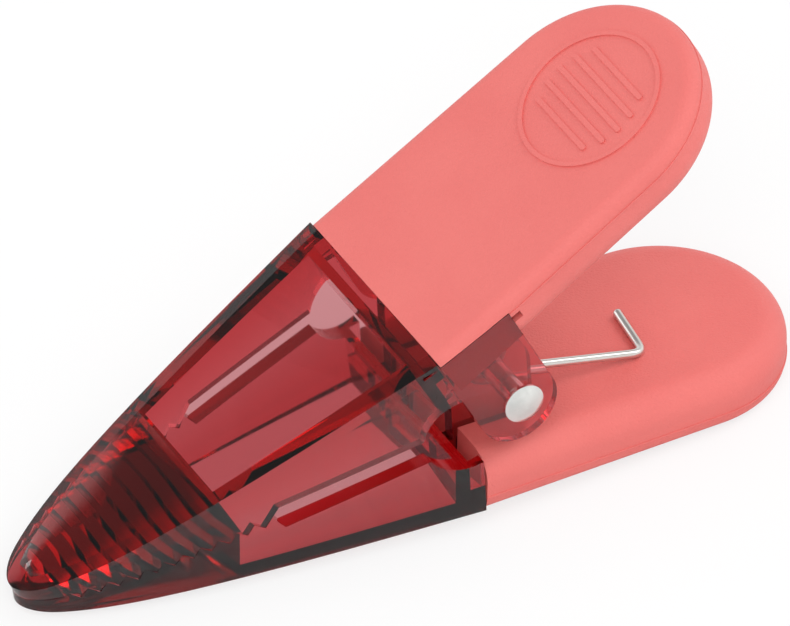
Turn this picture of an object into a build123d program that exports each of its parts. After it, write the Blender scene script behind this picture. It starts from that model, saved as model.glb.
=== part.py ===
from build123d import *
import os
from math import acos, asin, atan2, cos, degrees, radians, sin, sqrt

# A bag clip: two crossed arms, each a clear toothed jaw with a soft handle moulded over its tongue.
# Modelling frame: X from the tips to the handles, Y along the pivot pin, Z = 0 where the jaws meet.
# The upper arm is drawn; the lower one is its mirror image with its own teeth and ears.

# ---------------------------------------------------------------- driving dimensions, mm
jaw_length = 64.3         # clear jaw, along its outer face
jaw_angle = 11.8          # outer face of a jaw to the mating plane, degrees
handle_bend = 4.4         # the handle splays outwards from the jaw by this, degrees
tip_height = 2.05         # thickness of one jaw at its tip
jaw_half_width = 18.2     # where the jaw meets the handle
nose_fullness = 1.21      # share of the width that grows with the square root of the length
side_taper = -0.335       # share that grows with the length
side_flare = 0.125        # share that grows with its square

rim_width = 2.2           # sloping rim round the jaw's flat outer panel
rim_drop = 0.32
edge_line_depth = 2.0     # above this depth the side walls lean in slightly
edge_line_lean = 0.14
crown_height = 0.9        # the solid nose is crowned inside its rim
panel = 1.5               # clear panel over the hollow
wall_front = 3.0          # side wall where it meets the panel, at the front of the hollow
wall_rear = 3.9           # and at its rear
wall_thinning = 2.2       # the side walls thin by this over wall_height, away from the panel
wall_height = 15.0
nose_length = 29.6        # solid toothed nose
rear_wall_start = 61.1
rear_wall_end = 62.6

tooth_pitch = 2.63
tooth_half_height = 0.65
first_tooth = 6.0         # position of the first tooth peak of the lower jaw
tooth_count = 12
teeth_end = 36.2          # foot of the last tooth's rear flank
tooth_gap = 0.05          # half of the play between the two rows
slot_half = 2.0           # relief behind the teeth
notch_x = 63.8            # round notch ahead of the pivot
notch_radius = 6.2

pivot_x = 72.9
ear_ahead = 0.7           # the ears' round ends are centred this far ahead of the pin
pin_radius = 1.75
pin_play = 0.05
ear_radius = 6.05
ear_thickness = 2.2
inner_ear_face = 9.5      # outer face of the lower arm's ears, from the middle
ear_root = 1.2            # depth at which the ears leave the handle's skin
ear_root_start = 61.5     # the ears' roots reach forward into the jaw's rear wall
ear_root_end = 7.0        # depth of the roots' lower edge
root_plate = 3.0          # thickness of the plate that joins the tongue to the jaw

tongue_start = 0.5        # behind the jaw's rear end
tongue_length = 34.0
tongue_half_width = 11.0
tongue_depth = 3.4
tongue_thickness = 3.0
seat_gap = 0.03           # between the tongue and its socket

handle_length = 55.7
handle_thickness = 8.9
end_radius = 17.5         # the rounded end, tangent to the sides
outer_round = 2.1
inner_round = 4.2
mould_step = 0.12         # raised line round the handle where the mould halves meet
mould_line_depth = 2.5
mould_line_width = 0.3
open_side = 3.0           # the upper handle is cut away outside its ears
behind_ear = 1.5          # length of the small notch behind the top of an outer ear
behind_ear_top = 2.2      # depth of its upper edge
behind_ear_height = 1.2

ring_position = 104.2
ring_radius = 10.6
ring_width = 0.7
ring_height = 0.25
rib_count = 5
rib_spacing = 2.6
rib_width = 0.8

head_radius = 3.0
head_height = 1.25
head_rim = 0.35

wire_radius = 0.63
coil_radius = 3.0
coil_half_length = 5.8
coil_turns = 6
leg_angle = 116.8         # the lower leg leaves the coil this far down from +X, degrees
hook_reach = 95.0         # along the arm, from the tip
hook_side = 7.8           # the bend's distance from the middle
hook_length = 9.6
hook_lead = 1.2           # the hook leans towards the end of the handle by this
hook_bend = 2.8

rest_turn = 13.455        # the closed clip lies on the crown of its nose and its handle end

# (position along the jaw, share of the crown's height)
crown_stations = [(3.0, 0.3), (4.2, 0.75), (7.0, 1.0), (14.0, 1.0), (22.0, 0.95), (nose_length - 0.5, 0.7)]
crown_root = 0.6          # how deep the crown is bedded in the nose

# ---------------------------------------------------------------- frames
a = radians(jaw_angle)
b = radians(jaw_angle + handle_bend)
jaw_face = Plane(origin=(0, 0, tip_height), x_dir=(cos(a), 0, sin(a)), z_dir=(-sin(a), 0, cos(a)))
junction = (jaw_length * cos(a), 0, tip_height + jaw_length * sin(a))
handle_face = Plane(origin=junction, x_dir=(cos(b), 0, sin(b)), z_dir=(-sin(b), 0, cos(b)))
ear_x = pivot_x - ear_ahead
ear_s = ear_x * cos(a) - tip_height * sin(a)
ear_depth = ear_x * sin(a) + tip_height * cos(a)
hollow_stations = [nose_length + (rear_wall_start - nose_length) * k / 3 for k in range(4)]
ear_outer = jaw_half_width - 0.1
ear_back = ear_s + ear_radius
deep = 30.0               # cutting bodies reach this far
beyond = 5.0              # and pass the outside by this


def half_width(s):
    """Half the jaw's width at s along it: a rounded nose that opens into nearly straight sides."""
    u = s / jaw_length
    return jaw_half_width * (nose_fullness * sqrt(u) + side_taper * u + side_flare * u * u)


def panel_half_width(s):
    """Half the width inside the sloping rim, whose width is measured square to the outline."""
    step = 0.1
    slope = (half_width(s + step) - half_width(s - step)) / (2 * step)
    return half_width(s) - (rim_width + edge_line_lean) * sqrt(1 + slope**2)


def side_wall(s):
    """Thickness of the side wall at the panel, at s along the jaw."""
    return wall_front + (wall_rear - wall_front) * (s - nose_length) / (rear_wall_start - nose_length)


def side_view(y):
    """Plane seen from -Y, x along the jaw's outer face, y outwards from it."""
    return Plane(origin=(0, y, tip_height), x_dir=(cos(a), 0, sin(a)), z_dir=(0, -1, 0))


def mating_line(first):
    """Lower edge of the upper jaw; its zigzag starts with a valley (first = 1) or a tooth (first = -1)."""
    points = [(-beyond, tooth_gap), (first_tooth - tooth_pitch / 4, tooth_gap)]
    for k in range(2 * tooth_count - 1):
        reach = first * tooth_half_height * (-1) ** k
        points.append((first_tooth + k * tooth_pitch / 2, tooth_gap + reach))
    points.append((teeth_end, slot_half))
    points.append((notch_x - sqrt(notch_radius**2 - slot_half**2), slot_half))
    return points


def jaw(first, ear_face, bore):
    """One jaw in the upper arm's place; its ears' outer faces lie at ear_face from the middle."""
    outwards = Axis((0, 0, 0), (-sin(a), 0, cos(a)))
    along = Axis((0, 0, 0), (cos(a), 0, sin(a)))
    plate_half_width = min(ear_face, tongue_half_width)
    with BuildPart() as body:
        stations = [jaw_length * (k / 7) ** 2 for k in range(1, 8)]
        side = [(s, half_width(s)) for s in stations]
        with BuildSketch(jaw_face.offset(-deep)):
            with BuildLine():
                edge = Spline(*[(s, -w) for s, w in reversed(side)], (0, 0), *side)
                Line(edge @ 1, edge @ 0)
            make_face()
        extrude(amount=deep)
        # the slight lean of the side walls, then the sloping rim
        for across, down in ((edge_line_lean, edge_line_depth), (rim_width, rim_drop)):
            outer_face = body.faces().sort_by(outwards)[-1]
            outline = outer_face.edges().sort_by(along)[0]
            chamfer(outline, length=across, length2=down, reference=outer_face)
        # crowned nose
        for s, rise in crown_stations:
            reach = panel_half_width(s)
            with BuildSketch(Plane(origin=jaw_face.from_local_coords(Vector(s, 0, 0)), x_dir=(0, 1, 0), z_dir=(
                    cos(a), 0, sin(a)))):
                with BuildLine():
                    arch = ThreePointArc((-reach, 0), (0, crown_height * rise), (reach, 0))
                    Polyline(arch @ 1, (reach, -crown_root), (-reach, -crown_root), arch @ 0)
                make_face()
        loft()
        # hollow behind the nose, open towards the mating plane
        for depth, thinner in ((panel, 0.0), (panel + wall_height, wall_thinning)):
            wall = [(s, half_width(s) - side_wall(s) + thinner) for s in hollow_stations]
            with BuildSketch(jaw_face.offset(-depth)):
                with BuildLine():
                    far = Spline(*wall)
                    near = Spline(*[(s, -w) for s, w in wall])
                    Line(far @ 0, near @ 0)
                    Line(far @ 1, near @ 1)
                make_face()
        loft(ruled=True, mode=Mode.SUBTRACT)
        with BuildSketch(jaw_face.offset(-deep)):
            with Locations(((rear_wall_end + jaw_length) / 2, 0)):
                Rectangle(jaw_length - rear_wall_end, 2 * (half_width(jaw_length) - wall_rear + wall_thinning))
        extrude(amount=deep - ear_root - root_plate, mode=Mode.SUBTRACT)
        # teeth, relief and notch
        with BuildSketch(Plane.XZ):
            with BuildLine():
                teeth = Polyline(*mating_line(first))
                shoulder_angle = degrees(asin(slot_half / notch_radius))
                arc = CenterArc((notch_x, 0), notch_radius, 180 - shoulder_angle, shoulder_angle - 90)
                behind = notch_x + deep
                Polyline(arc @ 1, (behind, notch_radius), (behind, -deep), (-beyond, -deep), teeth @ 0)
            make_face()
        extrude(amount=deep, both=True, mode=Mode.SUBTRACT)
        # plate inside the handle, then the ears with their roots, and the tongue
        with BuildSketch(jaw_face.offset(-ear_root - root_plate)):
            with Locations(((rear_wall_end + ear_back) / 2, 0)):
                Rectangle(ear_back - rear_wall_end, 2 * plate_half_width)
        extrude(amount=root_plate)
        for sign in (-1, 1):
            outer = sign * ear_face
            with BuildSketch(side_view(outer)):
                with Locations((ear_s, -(ear_root + ear_depth) / 2)):
                    Rectangle(2 * ear_radius, ear_depth - ear_root)
                with Locations((ear_s, -ear_depth)):
                    Circle(ear_radius)
                with Locations(((ear_root_start + ear_s) / 2, -(ear_root + ear_root_end) / 2)):
                    Rectangle(ear_s - ear_root_start, ear_root_end - ear_root)
            extrude(amount=sign * ear_thickness)
        with BuildSketch(handle_face.offset(-tongue_depth - tongue_thickness)):
            with Locations((tongue_length / 2 + tongue_start, 0)):
                Rectangle(tongue_length, 2 * tongue_half_width)
        extrude(amount=tongue_thickness)
        with BuildSketch(Plane.XZ.offset(-deep)):
            with Locations((pivot_x, 0)):
                Circle(bore)
        extrude(amount=2 * deep, mode=Mode.SUBTRACT)
    return body


def handle_outline(grow):
    """Plan of a handle: sides that close in slightly and run tangent into a round end."""
    wide = jaw_half_width + grow
    radius = end_radius + grow
    middle = handle_length - end_radius
    lean = degrees(acos(radius / sqrt(middle**2 + wide**2)) - atan2(middle, wide))
    with BuildSketch() as plan:
        with BuildLine():
            end = CenterArc((middle, 0), radius, -90 - lean, 180 + 2 * lean)
            near = Line((0, -wide), end @ 0)
            far = Line(end @ 1, (0, wide))
            Line(far @ 1, near @ 0)
        make_face()
    return plan.sketch


def handle(ear_face, open_sides):
    """One soft handle in the upper arm's place, with the socket for the jaw's plate, ears and tongue."""
    outwards = Axis((0, 0, 0), (-sin(b), 0, cos(b)))
    along = Axis((0, 0, 0), (cos(b), 0, sin(b)))
    plate_half_width = min(ear_face, tongue_half_width)
    with BuildPart() as body:
        with BuildSketch(handle_face.offset(-handle_thickness)):
            add(handle_outline(0))
        extrude(amount=handle_thickness)
        top = body.faces().sort_by(outwards)[-1]
        fillet(top.edges().sort_by(along)[1:], outer_round)
        bottom = body.faces().sort_by(outwards)[0]
        fillet(bottom.edges().sort_by(along)[1:], inner_round)
        with BuildSketch(handle_face.offset(-mould_line_depth - mould_line_width / 2)):
            add(handle_outline(mould_step))
        extrude(amount=mould_line_width)
        # the front follows the jaw's rear end
        with BuildSketch(jaw_face.offset(-deep)):
            with Locations((jaw_length + seat_gap - beyond, 0)):
                Rectangle(2 * beyond, 2 * deep)
        extrude(amount=deep + beyond, mode=Mode.SUBTRACT)
        # socket: plate, ears, tongue
        with BuildSketch(jaw_face.offset(-ear_root - root_plate - seat_gap)):
            with Locations(((jaw_length + ear_back + seat_gap) / 2, 0)):
                Rectangle(ear_back + seat_gap - jaw_length, 2 * (plate_half_width + seat_gap))
        extrude(amount=root_plate + 2 * seat_gap, mode=Mode.SUBTRACT)
        slot = ear_thickness + 2 * seat_gap + open_sides
        for sign in (-1, 1):
            middle = sign * (ear_face - ear_thickness - seat_gap + slot / 2)
            with BuildSketch(jaw_face.offset(-deep)):
                with Locations(((jaw_length + ear_back + seat_gap) / 2, middle)):
                    Rectangle(ear_back + seat_gap - jaw_length, slot)
            extrude(amount=deep - ear_root + seat_gap, mode=Mode.SUBTRACT)
            if open_sides:
                with BuildSketch(jaw_face.offset(-behind_ear_top - behind_ear_height)):
                    with Locations((ear_back + behind_ear / 2, middle)):
                        Rectangle(behind_ear, slot)
                extrude(amount=behind_ear_height, mode=Mode.SUBTRACT)
        with BuildSketch(handle_face.offset(-tongue_depth - tongue_thickness - seat_gap)):
            with Locations((tongue_length / 2 + tongue_start, 0)):
                Rectangle(tongue_length + 2 * seat_gap, 2 * (tongue_half_width + seat_gap))
        extrude(amount=tongue_thickness + 2 * seat_gap, mode=Mode.SUBTRACT)
        if open_sides:
            # plain raised ring with grip ribs inside it
            centre = ring_position - jaw_length
            with BuildSketch(handle_face):
                with Locations((centre, 0)):
                    Circle(ring_radius + ring_width / 2)
                    Circle(ring_radius - ring_width / 2, mode=Mode.SUBTRACT)
            extrude(amount=ring_height)
            with BuildSketch(handle_face):
                for k in range(rib_count):
                    across = (k - (rib_count - 1) / 2) * rib_spacing
                    reach = sqrt((ring_radius - 2.2) ** 2 - across**2)
                    with Locations((centre + across, 0)):
                        SlotOverall(2 * reach, rib_width, rotation=90)
            extrude(amount=ring_height)
    return body


def on_handle(s, y, depth):
    """Point of the upper arm's handle at s along the arm and at a depth below its outer face."""
    return handle_face.from_local_coords(Vector(s - jaw_length, y, -depth))


def dome(outer_y, sign):
    """Section of a domed head sitting on an ear, to be turned about the pivot."""
    foot = (pivot_x, outer_y)
    edge = (pivot_x + head_radius, outer_y)
    shoulder_point = (pivot_x + head_radius, outer_y + sign * head_rim)
    crown = (pivot_x, outer_y + sign * head_height)
    rise = head_height - head_rim
    dome_radius = (head_radius**2 + rise**2) / (2 * rise)
    half_way = sqrt(dome_radius**2 - (head_radius / 2) ** 2) - dome_radius + head_height
    bulge = (pivot_x + head_radius / 2, outer_y + sign * half_way)
    with BuildSketch(Plane.XY) as section:
        with BuildLine():
            Polyline(crown, foot, edge, shoulder_point)
            ThreePointArc(shoulder_point, bulge, crown)
        make_face()
    return section.sketch


# ---------------------------------------------------------------- the two arms
pivot_axis = Axis((pivot_x, 0, 0), (0, 1, 0))
upper_jaw = jaw(1, ear_outer, pin_radius + pin_play)
lower_jaw = jaw(-1, inner_ear_face, pin_radius)
upper_handle = handle(ear_outer, open_side)
lower_handle = handle(inner_ear_face, 0.0)

# ---------------------------------------------------------------- rivet and cap
with BuildPart() as pivot_rivet:
    add(dome(-ear_outer - pin_play, -1))
    revolve(axis=pivot_axis)
    with BuildSketch(Plane.XZ.offset(ear_outer + pin_play)):
        with Locations((pivot_x, 0)):
            Circle(pin_radius)
    extrude(amount=-2 * (ear_outer + pin_play) - head_height * 0.5)
with BuildPart() as rivet_cap:
    add(dome(ear_outer + pin_play, 1))
    revolve(axis=pivot_axis)
    with BuildSketch(Plane.XZ.offset(-ear_outer)):
        with Locations((pivot_x, 0)):
            Circle(pin_radius)
    extrude(amount=-head_height * 0.5 - pin_play, mode=Mode.SUBTRACT)

# ---------------------------------------------------------------- spring
phi = radians(-leg_angle)
coil_turn = 1 - 2 * leg_angle / 360
coil_pitch = 2 * coil_half_length / (coil_turns + coil_turn)
coil_place = Plane(origin=(pivot_x, -coil_half_length, 0), x_dir=(cos(phi), 0, sin(phi)), z_dir=(0, 1, 0))
winding = Helix(coil_pitch, 2 * coil_half_length, coil_radius)
winding = coil_place.location * winding
corner = on_handle(hook_reach, 0, handle_thickness + wire_radius + seat_gap)
finish = on_handle(hook_reach + hook_lead, 0, handle_thickness + wire_radius + seat_gap)
leave = (pivot_x + coil_radius * cos(phi), -coil_half_length, coil_radius * sin(phi))
bend = (corner.X, -hook_side, -corner.Z)
tail = (finish.X, hook_length - hook_side, -finish.Z)
with BuildPart() as near_leg:
    with BuildLine() as leg:
        FilletPolyline(leave, bend, tail, radius=hook_bend)
    with BuildSketch(Plane(origin=leg.line @ 0, z_dir=leg.line % 0)):
        Circle(wire_radius)
    sweep(path=leg.line)
    with Locations(leave):
        Sphere(wire_radius)
far_leg = Rotation(180, 0, 0) * near_leg.part
with BuildPart() as torsion_spring:
    with BuildSketch(Plane(origin=winding @ 0, z_dir=winding % 0)):
        RegularPolygon(wire_radius, 8)
    sweep(path=winding, is_frenet=True)
    add(near_leg.part)
    add(far_leg)

# ---------------------------------------------------------------- stand on the table and hand over
upper_jaw_solid = upper_jaw.part
upper_handle_solid = upper_handle.part
lower_jaw_solid = mirror(lower_jaw.part, about=Plane.XY)
lower_handle_solid = mirror(lower_handle.part, about=Plane.XY)
pieces = {
    "upper_jaw": upper_jaw_solid,
    "upper_handle": upper_handle_solid,
    "lower_jaw": lower_jaw_solid,
    "lower_handle": lower_handle_solid,
    "pivot_rivet": pivot_rivet.part,
    "rivet_cap": rivet_cap.part,
    "torsion_spring": torsion_spring.part,
}
turned = {}
for name, solid in pieces.items():
    turned[name] = Rotation(0, -rest_turn, 0) * solid
boxes = [solid.bounding_box() for solid in turned.values()]
low = [min(tuple(box.min)[i] for box in boxes) for i in range(3)]
high = [max(tuple(box.max)[i] for box in boxes) for i in range(3)]
foot = ((low[0] + high[0]) / 2, (low[1] + high[1]) / 2, low[2])
os.makedirs("parts", exist_ok=True)
for name, solid in turned.items():
    placed = Pos(-foot[0], -foot[1], -foot[2]) * solid
    placed.label = name
    export_step(placed, f"parts/{name}.step")
    print(name, "volume", round(placed.volume, 1), "solids", len(placed.solids()))
t = radians(rest_turn)
pivot_at = (pivot_x * cos(t) - foot[0], -foot[1], pivot_x * sin(t) - foot[2])
print("pivot at", [round(x, 3) for x in pivot_at], "size", [round(h - w, 2) for h, w in zip(high, low)])
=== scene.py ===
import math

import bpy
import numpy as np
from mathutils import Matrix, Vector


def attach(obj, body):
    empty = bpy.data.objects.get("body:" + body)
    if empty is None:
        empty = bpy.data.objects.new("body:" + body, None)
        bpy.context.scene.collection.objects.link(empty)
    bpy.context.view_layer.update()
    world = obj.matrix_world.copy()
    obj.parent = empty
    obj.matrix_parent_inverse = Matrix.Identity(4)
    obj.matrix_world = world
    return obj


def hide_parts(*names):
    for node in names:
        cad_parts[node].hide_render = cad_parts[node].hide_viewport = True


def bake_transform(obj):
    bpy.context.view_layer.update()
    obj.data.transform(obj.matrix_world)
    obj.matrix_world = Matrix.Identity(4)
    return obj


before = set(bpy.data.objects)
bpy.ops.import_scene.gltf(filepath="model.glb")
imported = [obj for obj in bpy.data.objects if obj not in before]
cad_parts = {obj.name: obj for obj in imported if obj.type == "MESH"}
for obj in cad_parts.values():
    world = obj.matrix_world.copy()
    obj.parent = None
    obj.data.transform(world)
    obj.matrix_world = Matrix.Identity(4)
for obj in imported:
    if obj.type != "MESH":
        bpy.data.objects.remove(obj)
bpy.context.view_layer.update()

# %% [markdown]
# # A bag clip, dressed for the camera
# The solids come from the CAD frame: two clear jaws, two soft handles, a rivet with its cap, and a
# spring. This lesson gives each one its material and winds the spring's wire anew as a fine tube.
# It starts with a few small tools. Colours are written as sRGB hex, the way a designer picks them, and
# one function turns them to the linear light that Blender mixes in. Another adds any node at all.

MM = 0.001


def linear(code):
    """sRGB hex to linear RGB: the standard curve, c/12.92 below 0.04045, else ((c+0.055)/1.055)^2.4."""
    parts = [int(code[i:i + 2], 16) / 255 for i in (1, 3, 5)]
    return tuple(c / 12.92 if c <= 0.04045 else ((c + 0.055) / 1.055) ** 2.4 for c in parts)


def opaque(code):
    """The same colour as a socket takes it: linear red, green and blue, and an alpha of one."""
    return (*linear(code), 1)


def add_node(tree, kind, settings=None, **inputs):
    """One node: settings are its properties. Inputs are values or sockets, named with _ for a space,
    or with _ and the socket's number where a name is used twice."""
    made = tree.nodes.new(kind)
    for name, value in (settings or {}).items():
        setattr(made, name, value)
    for name, value in inputs.items():
        socket = made.inputs[int(name[1:])] if name[1:].isdigit() else made.inputs[name.replace("_", " ")]
        if isinstance(value, bpy.types.NodeSocket):
            tree.links.new(value, socket)
        else:
            socket.default_value = value
    return made


def new_material(name):
    """An empty node material, its node tree and its output node."""
    made = bpy.data.materials.new(name)
    made.use_nodes = True
    made.node_tree.nodes.clear()
    return made, made.node_tree, made.node_tree.nodes.new("ShaderNodeOutputMaterial")


def dress(obj, made):
    """Gives obj this one material."""
    obj.data.materials.clear()
    obj.data.materials.append(made)


# %% [markdown]
# ## Camera
# A long lens from the front left, looking down at the clip on its table, as a catalogue shows such
# things: parallel edges stay nearly parallel. A camera can be aimed with a constraint or by its three
# axes. The axes are used here, because they also fix how far it leans to one side.

# %% camera
camera_data = bpy.data.cameras.new("camera")
camera_data.lens = 715.14
camera_data.sensor_width = 36.0
camera_data.clip_start = 0.1
camera_data.clip_end = 20.0
camera = bpy.data.objects.new("camera", camera_data)
bpy.context.scene.collection.objects.link(camera)
camera_place = Vector((-0.787156, -1.4769, 1.398513))
right = Vector((0.872587, -0.487867, -0.024023))
up = Vector((0.325593, 0.544276, 0.773144))
back = Vector((-0.364117, -0.682458, 0.633775))
aim_turn = Matrix((right, up, back)).transposed().to_4x4()
camera.matrix_world = Matrix.Translation(camera_place) @ aim_turn
bpy.context.scene.camera = camera
print("lens", camera_data.lens, "mm, distance", round(camera.location.length, 3), "m")

# %% [markdown]
# ## Paper sweep
# The clip lies on a white sweep of paper that takes its shadow. Plain paper would do under enough
# lamps, but they would wash out the coral, so the sheet is part diffuse paper and part its own glow.
# Three quarters of what the camera sees of it is glow, which is white. Seen through the jaws, plain
# paper would be bright beyond the clip and nearly black in the clip's own shadow, so those rays get
# more of the glow, at a lower level, and the plastic looks evenly lit from behind.

# %% paper sweep
sweep_reach = 3.0
sweep_drop = 0.1 * MM          # just below the clip, so that the two never share a plane
glow_seen_direct = 0.75
glow_seen_through = 0.85
level_direct = 1.0
level_through = 0.7

corners = [(-sweep_reach, -sweep_reach, 0), (sweep_reach, -sweep_reach, 0),
           (sweep_reach, sweep_reach, 0), (-sweep_reach, sweep_reach, 0)]
floor_mesh = bpy.data.meshes.new("paper_sweep")
floor_mesh.from_pydata(corners, [], [(0, 1, 2, 3)])
floor = bpy.data.objects.new("paper_sweep", floor_mesh)
floor.location = (0, 0, -sweep_drop)
bpy.context.scene.collection.objects.link(floor)

paper, tree, out = new_material("matt white paper sweep")
matt = add_node(tree, "ShaderNodeBsdfDiffuse", Color=opaque("#ededed"), Roughness=0.5)
ray = add_node(tree, "ShaderNodeLightPath")
camera_ray = ray.outputs["Is Camera Ray"]
jaw_ray = ray.outputs["Is Transmission Ray"]
level = add_node(tree, "ShaderNodeMapRange", Value=jaw_ray, To_Min=level_direct, To_Max=level_through)
glow = add_node(tree, "ShaderNodeEmission", Color=opaque("#ffffff"), Strength=level.outputs[0])
direct = add_node(tree, "ShaderNodeMath", {"operation": "MULTIPLY"}, _0=camera_ray, _1=glow_seen_direct)
through = add_node(tree, "ShaderNodeMath", {"operation": "MULTIPLY"}, _0=jaw_ray, _1=glow_seen_through)
more = add_node(tree, "ShaderNodeMath", {"operation": "MAXIMUM"}, _0=direct.outputs[0], _1=through.outputs[0])
mixed = add_node(tree, "ShaderNodeMixShader", _0=more.outputs[0], _1=matt.outputs[0], _2=glow.outputs[0])
tree.links.new(mixed.outputs[0], out.inputs["Surface"])
dress(floor, paper)
print("paper sweep", 2 * sweep_reach, "m wide")

# %% [markdown]
# ## Sky
# An even pale sky fills the shadows. A polished or plated surface would mirror it flat and lose its
# form, so reflected rays see a gradient instead: bright near the horizon, like the white wall of a
# studio, and dim overhead. That draws a light side and a dark side on the wire and the rivet.

# %% sky
sky_level = 0.8
wall_top = 0.4                 # height of the direction's unit arrow where the bright wall ends
ceiling = 0.62                 # and where the dim ceiling begins
wall_level = 1.0
ceiling_level = 0.25

world = bpy.data.worlds.new("studio")
world.use_nodes = True
bpy.context.scene.world = world
sky = world.node_tree
aim = add_node(sky, "ShaderNodeTexCoord")
axes = add_node(sky, "ShaderNodeSeparateXYZ", Vector=aim.outputs["Generated"])
fall = add_node(sky, "ShaderNodeMapRange", {"interpolation_type": "SMOOTHSTEP"}, Value=axes.outputs["Z"],
                From_Min=wall_top, From_Max=ceiling, To_Min=wall_level, To_Max=ceiling_level)
kind = add_node(sky, "ShaderNodeLightPath")
even = add_node(sky, "ShaderNodeMix", Factor=kind.outputs["Is Glossy Ray"], A=sky_level, B=fall.outputs[0])
background = sky.nodes["Background"]
background.inputs["Color"].default_value = opaque("#ffffff")
sky.links.new(even.outputs[0], background.inputs["Strength"])
print("sky", sky_level, "reflected", wall_level, "to", ceiling_level)

# %% [markdown]
# ## Lamps
# A large soft box in front gives the handles their broad soft light, a weaker one at the side keeps
# the far faces from going flat, and a narrow strip behind the noses draws the glint on their tips.
# Square area lamps are used because their reflections look like real soft boxes.

# %% lamps
clip_middle = Vector((0, 0, 0.02))


def soft_box(name, place, size, power):
    """A square area lamp at place, size metres wide and of so many watts, facing the clip's middle."""
    data = bpy.data.lights.new(name, "AREA")
    data.shape = "SQUARE"
    data.size = size
    data.energy = power
    lamp = bpy.data.objects.new(name, data)
    lamp.location = place
    lamp.rotation_euler = (clip_middle - Vector(place)).to_track_quat("-Z", "Y").to_euler()
    bpy.context.scene.collection.objects.link(lamp)


soft_box("key_soft_box", (-0.5, -0.9, 1.1), 0.9, 8.4)
soft_box("side_soft_box", (0.9, -0.2, 0.9), 0.6, 4.0)
soft_box("rear_strip", (-0.74, 0.82, 0.47), 0.3, 1.1)
bpy.context.scene.view_settings.view_transform = "Standard"

# %% [markdown]
# ## Soft handles
# Matte coral elastomer, injected over the jaw's tongue in a spark-eroded mould, whose fine grain it
# keeps. The grain breaks up every highlight, so that the handles look dry next to the jaws. It could
# be modelled or painted, but a bump from a noise in millimetres costs no faces and holds at any
# distance. It is drawn a third of a millimetre wide, as coarse as it needs to be to show from here.
# A much larger noise shifts the colour a little, as the melt does while it fills the mould.

# %% soft handle material
grain_width = 0.35 * MM
grain_height = 0.12 * MM
cloud_width = 14 * MM

coral, tree, out = new_material("coral elastomer, spark-eroded mould grain")
place = add_node(tree, "ShaderNodeTexCoord").outputs["Object"]
grain = add_node(tree, "ShaderNodeTexNoise", Vector=place, Scale=1 / grain_width, Detail=3.0, Roughness=0.6)
cloud = add_node(tree, "ShaderNodeTexNoise", Vector=place, Scale=1 / cloud_width, Detail=2.0)
tint = add_node(tree, "ShaderNodeMix", {"data_type": "RGBA"}, Factor=cloud.outputs["Fac"],
                _6=opaque("#dd6a66"), _7=opaque("#e57771"))
bump = add_node(tree, "ShaderNodeBump", Height=grain.outputs["Fac"], Strength=1.0, Distance=grain_height)
skin = add_node(tree, "ShaderNodeBsdfPrincipled", Base_Color=tint.outputs[2], Roughness=0.55,
                Normal=bump.outputs[0], IOR=1.45)
tree.links.new(skin.outputs[0], out.inputs["Surface"])
for name in ("upper_handle", "lower_handle"):
    dress(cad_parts[name], coral)
print("handles: grain", round(grain_width / MM, 2), "mm wide")

# %% [markdown]
# ## Clear red jaws
# Tinted styrene, injection moulded and polished. Thin walls glow red and thick ones go nearly black,
# as the dye takes more light the further it travels. That comes from a volume inside the surface, and
# a painted colour could not give it. The melt leaves the polished skin very slightly wavy, and
# handling leaves it a little duller in patches. Both stay faint, because the eye reads a clear
# moulding by the straight edges behind it, and a strong wave would break them up. For the same reason
# the solid's edges are left as they are: a bevel cut into its triangles bends what is seen through.

# %% clear jaw material
wave_width = 7 * MM
wave_height = 0.05 * MM
patch_width = 3 * MM
polished = 0.015
handled = 0.07
dye_density = 580.0            # the light left after d metres is exp(-density * (1 - colour) * d)

clear, tree, out = new_material("clear red styrene, polished mould")
place = add_node(tree, "ShaderNodeTexCoord").outputs["Object"]
flow = add_node(tree, "ShaderNodeTexNoise", Vector=place, Scale=1 / wave_width, Detail=1.0)
wave = add_node(tree, "ShaderNodeBump", Height=flow.outputs["Fac"], Strength=0.08, Distance=wave_height)
patch = add_node(tree, "ShaderNodeTexNoise", Vector=place, Scale=1 / patch_width, Detail=4.0)
polish = add_node(tree, "ShaderNodeMapRange", Value=patch.outputs["Fac"], To_Min=polished, To_Max=handled)
styrene = add_node(tree, "ShaderNodeBsdfPrincipled", Base_Color=opaque("#fff7f7"), IOR=1.57,
                   Roughness=polish.outputs[0], Normal=wave.outputs[0], Transmission_Weight=1.0)
dye = add_node(tree, "ShaderNodeVolumeAbsorption", Color=opaque("#ef345a"), Density=dye_density)
tree.links.new(styrene.outputs[0], out.inputs["Surface"])
tree.links.new(dye.outputs[0], out.inputs["Volume"])
for name in ("upper_jaw", "lower_jaw"):
    dress(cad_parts[name], clear)
print("jaws: dye density", dye_density, "per metre, roughness", polished, "to", handled)

# %% [markdown]
# ## Rivet
# A steel pin with a pressed dome at each end, barrel plated. Tumbling in the barrel leaves shallow
# dents and patches of different polish, so the dome is a soft satin that is never quite even. A noise
# in millimetres drives both, the dents as a faint bump and the polish as roughness. A coarser one
# clouds the grey, as plating does where it is thin.

# %% rivet material
dent_width = 0.8 * MM
dent_depth = 0.05 * MM
bloom_width = 2.2 * MM

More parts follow.
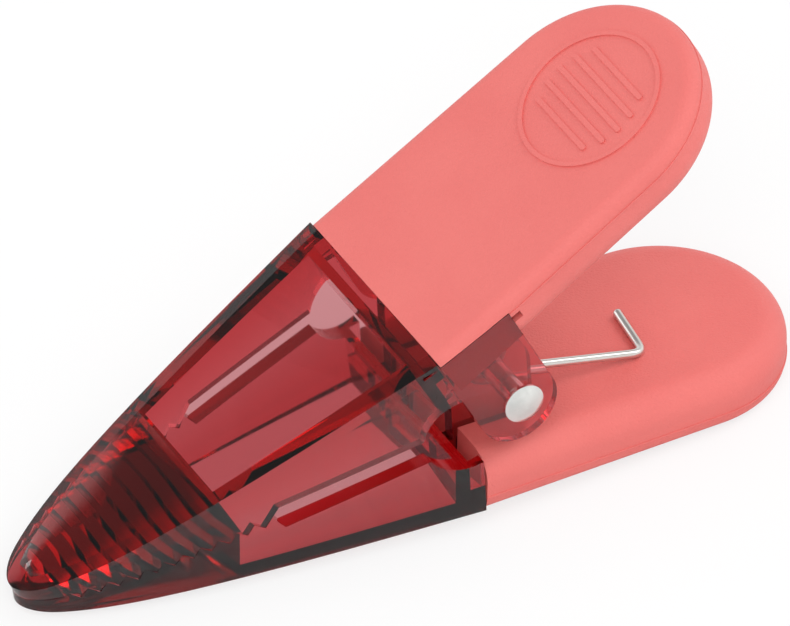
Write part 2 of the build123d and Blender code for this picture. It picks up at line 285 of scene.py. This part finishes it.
plated, tree, out = new_material("steel, barrel plated, satin")
place = add_node(tree, "ShaderNodeTexCoord").outputs["Object"]
mottle = add_node(tree, "ShaderNodeTexNoise", Vector=place, Scale=1 / dent_width, Detail=3.0)
rough = add_node(tree, "ShaderNodeMapRange", Value=mottle.outputs["Fac"], To_Min=0.1, To_Max=0.3)
dents = add_node(tree, "ShaderNodeBump", Height=mottle.outputs["Fac"], Strength=0.4, Distance=dent_depth)
bloom = add_node(tree, "ShaderNodeTexNoise", Vector=place, Scale=1 / bloom_width, Detail=2.0)
shade = add_node(tree, "ShaderNodeMix", {"data_type": "RGBA"}, Factor=bloom.outputs["Fac"],
                 _6=opaque("#bfc1bf"), _7=opaque("#f4f4f0"))
plate = add_node(tree, "ShaderNodeBsdfPrincipled", Base_Color=shade.outputs[2], Roughness=rough.outputs[0],
                 Normal=dents.outputs[0], Metallic=1.0)
tree.links.new(plate.outputs[0], out.inputs["Surface"])
for name in ("pivot_rivet", "rivet_cap"):
    dress(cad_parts[name], plated)
print("rivet and cap: dents", round(dent_width / MM, 2), "mm wide")

# %% [markdown]
# ## Spring wire
# Drawn music wire, bright, with fine lines along it from the die. The lines are a noise stretched
# along the wire's own length, on a map in millimetres, and they widen each glint into a soft streak.
# The map makes them follow every bend, which a pattern in the object's own axes could not do.

# %% spring wire material
lines_along = 0.4              # how often the noise changes in a millimetre along the wire
lines_across = 9.0             # and round it

drawn, tree, out = new_material("music wire, drawn bright")
place = add_node(tree, "ShaderNodeTexCoord").outputs["UV"]
stretch = add_node(tree, "ShaderNodeMapping", Vector=place, Scale=(lines_along, lines_across, 1.0))
lines = add_node(tree, "ShaderNodeTexNoise", Vector=stretch.outputs[0], Scale=1.0, Detail=2.0)
rough = add_node(tree, "ShaderNodeMapRange", Value=lines.outputs["Fac"], To_Min=0.24, To_Max=0.4)
wire = add_node(tree, "ShaderNodeBsdfPrincipled", Base_Color=opaque("#dcdad5"), Roughness=rough.outputs[0],
                Metallic=1.0)
tree.links.new(wire.outputs[0], out.inputs["Surface"])
print("wire: lines", lines_across, "to a millimetre round it,", lines_along, "along it")

# %% [markdown]
# ## The spring's path
# The spring is one wire: a hook that lies on the lower handle, a leg, an open coil round the pin, then
# the same leg and hook turned over for the upper handle. It could be a curve with a bevel, but a tube
# worked out along the path gives each end a flat cap and the map that the drawn lines need. The sizes
# are the clip's own, in millimetres, measured about the pin with the mating line of the jaws level.

# %% sizes that the wire follows
pivot = np.array([10.7, 0.0, 19.669])
rest_turn = math.radians(13.455)      # the mating line of the jaws against the table
jaw_tilt = math.radians(11.8)         # outer face of a jaw against the mating line
handle_tilt = math.radians(16.2)      # outer face of a handle against it
jaw_length = 64.3
tip_to_pin = 72.9
tip_height = 2.05
handle_thickness = 8.9
wire_radius = 0.63
wire_gap = 0.03                       # between the wire and the handle that it lies on
coil_radius = 3.0
coil_half = 5.8
coil_turns = 6
leg_angle = 116.8                     # the lower leg leaves the coil this far down, in degrees
hook_reach = 95.0                     # along the arm, from the tip
hook_side = 7.8
hook_end_side = 1.8
hook_lead = 1.2                       # the hook leans towards the end of the handle by this

# %% [markdown]
# Three helpers draw the legs. Straight runs would meet in sharp corners, and real wire is bent round a
# former, so a moving average rounds them. Running it twice, wide and then narrow, lets the curvature
# come and go softly instead of in one step.

# %% helpers for the path
point_step = 0.15                     # between the points of a leg
bend_width = 25                       # points in the first moving average
soften_width = 13                     # and in the second


def on_handle(along, y, depth):
    """A point of the upper handle about the pin: the rear end of the jaw's face, plus the distance past
    it along the handle's face, plus y along the pin, minus the depth along the face's normal."""
    start = np.array([jaw_length * math.cos(jaw_tilt) - tip_to_pin, 0.0,
                      tip_height + jaw_length * math.sin(jaw_tilt)])
    face = np.array([math.cos(handle_tilt), 0.0, math.sin(handle_tilt)])
    normal = np.array([-math.sin(handle_tilt), 0.0, math.cos(handle_tilt)])
    return start + (along - jaw_length) * face + np.array([0.0, y, 0.0]) - depth * normal


def straight(a, b):
    """Points from a to b: a plus equal shares of b minus a, without b itself."""
    count = max(2, int(np.linalg.norm(b - a) / point_step))
    return a + (b - a) * np.linspace(0, 1, count, endpoint=False)[:, None]


def smooth(path, width):
    """Moving average: each point is the mean of the width points round it. The path is run on straight
    at both ends first, so that its ends stay in place."""
    half = np.arange(width // 2, 0, -1)[:, None]
    before = path[:1] - half * (path[1] - path[0])
    after = path[-1:] + half[::-1] * (path[-1] - path[-2])
    total = np.cumsum(np.concatenate([np.zeros((1, 3)), before, path, after]), axis=0)
    return (total[width:] - total[:-width]) / width


print("corners rounded over", round(bend_width * point_step, 2), "mm")

# %% [markdown]
# The lower leg is laid on the lower handle, which is the upper one turned over. The coil is a helix
# of whole turns, and one part turn that brings it from one leg to the other. The upper leg is the
# lower one turned over, from the coil outwards.

# %% legs and coil
points_per_turn = 90
leave_angle = math.radians(-leg_angle)
turns = coil_turns + 1 - 2 * leg_angle / 360

lie = handle_thickness + wire_radius + wire_gap
turned_over = np.array([1.0, 1.0, -1.0])
corner = on_handle(hook_reach, -hook_side, lie) * turned_over
tail = on_handle(hook_reach + hook_lead, hook_end_side, lie) * turned_over
leave = np.array([coil_radius * math.cos(leave_angle), -coil_half, coil_radius * math.sin(leave_angle)])
near_leg = np.concatenate([straight(tail, corner), straight(corner, leave), leave[None]])
near_leg = smooth(smooth(near_leg, bend_width), soften_width)
angle = leave_angle - np.linspace(0, 2 * math.pi * turns, int(turns * points_per_turn))
coil = np.stack([coil_radius * np.cos(angle), np.linspace(-coil_half, coil_half, angle.size),
                 coil_radius * np.sin(angle)], axis=1)
far_leg = near_leg[::-1] * np.array([1.0, -1.0, -1.0])
print("wire", len(near_leg), len(coil), len(far_leg), "points")

# %% [markdown]
# ## From path to tube
# A tube is a ring of points carried along the path and kept square to it. The ring needs a direction
# to start from at each point, and any fixed one that the wire never runs along will do: the handle's
# normal for a leg, and the pin's own direction for the coil. Everything is worked out about the pin
# and then turned and moved to the clip's place at rest, so that the finished mesh needs no placing.

# %% rings along a path
around = 20
ring_angle = np.linspace(0, 2 * math.pi, around, endpoint=False)
ring_index = np.arange(around)


def ring_points(path, hint):
    """Rings round a path: point + radius * (cos a * side + sin a * other), where side is the path's
    direction crossed with hint, other is the direction crossed with side, and a goes once round. The
    rings are turned about the pin to the clip's rest and moved to the pin's place."""
    along = np.gradient(path, axis=0)
    along /= np.linalg.norm(along, axis=1)[:, None]
    side = np.cross(along, hint)
    side /= np.linalg.norm(side, axis=1)[:, None]
    other = np.cross(along, side)
    across = np.cos(ring_angle)[None, :, None]
    upward = np.sin(ring_angle)[None, :, None]
    ring = across * side[:, None] + upward * other[:, None]
    points = (path[:, None] + wire_radius * ring).reshape(-1, 3)
    c = math.cos(rest_turn)
    s = math.sin(rest_turn)
    return points @ np.array([[c, 0, s], [0, 1, 0], [-s, 0, c]]) + pivot


def ring_faces(count):
    """Quads between neighbouring rings, i to i+1 round and j to j+1 along, and one flat cap at each end."""
    rows = np.arange(count - 1)[:, None] * around
    following = (ring_index + 1) % around
    quads = np.stack([rows + ring_index, rows + following, rows + around + following,
                      rows + around + ring_index], 2)
    last = (count - 1) * around
    return quads.reshape(-1, 4).tolist() + [ring_index[::-1].tolist(), (ring_index + last).tolist()]


print("rings of", around, "points,", round(2 * math.pi * wire_radius / around, 3), "mm apart")

# %% [markdown]
# The map is the wire rolled out flat: its length one way and the way round it the other, both in
# millimetres, so the drawn lines keep their real width on the legs and on the coil.

# %% map of the wire


def wire_map(path):
    """Map of a tube's quads in millimetres: u is the distance run along the path, the summed steps
    between its points, and v is the place round the ring times the arc between two of its points."""
    length = np.concatenate([[0], np.cumsum(np.linalg.norm(np.diff(path, axis=0), axis=1))])
    stretches = len(path) - 1
    ends = np.tile([0, 0, 1, 1], stretches * around)
    u = length[np.repeat(np.arange(stretches), around * 4) + ends]
    round_it = np.stack([ring_index, ring_index + 1, ring_index + 1, ring_index], 1).reshape(-1)
    v = np.tile(round_it, stretches) * wire_radius * 2 * math.pi / around
    return np.stack([u, v], 1)


print("map of a leg", wire_map(near_leg).max(axis=0).round(2), "mm")

# %% [markdown]
# ## The spring
# The wire is cut in three, because its legs go with different handles while the coil between them
# winds. One long mesh would need a weight at every point. Three short ones each need a single rule.
# The tubes are shaded smooth round the wire and flat at their two cut ends.

# %% wire tubes


def tube(name, path, hint):
    """One closed piece of wire: rings along the path, joined by quads, with its map rolled out."""
    points = ring_points(path, hint)
    faces = ring_faces(len(path))
    mesh = bpy.data.meshes.new(name)
    mesh.from_pydata((points * MM).tolist(), [], faces)
    shaded_smooth = np.ones(len(faces), bool)
    shaded_smooth[-2:] = False
    mesh.polygons.foreach_set("use_smooth", shaded_smooth)
    rolled_out = wire_map(path)
    flat = np.zeros((len(mesh.loops), 2))
    flat[:len(rolled_out)] = rolled_out
    mesh.uv_layers.new(name="wire").data.foreach_set("uv", flat.reshape(-1))
    made = bpy.data.objects.new(name, mesh)
    bpy.context.scene.collection.objects.link(made)
    dress(made, drawn)
    print(name, len(points), "vertices")
    return made


lower_normal = np.array([-math.sin(handle_tilt), 0.0, -math.cos(handle_tilt)])
along_pin = np.array([0.0, 1.0, 0.0])
near = tube("spring_leg_lower", near_leg, lower_normal)
middle = tube("spring_coil", coil, along_pin)
far = tube("spring_leg_upper", far_leg, lower_normal * turned_over)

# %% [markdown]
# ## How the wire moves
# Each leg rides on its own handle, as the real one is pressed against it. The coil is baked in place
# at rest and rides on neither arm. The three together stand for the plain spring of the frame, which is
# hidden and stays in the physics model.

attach(near, "lower_arm")
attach(far, "upper_arm")
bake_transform(middle)
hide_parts("torsion_spring")
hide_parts("torsion_spring")
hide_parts("torsion_spring")
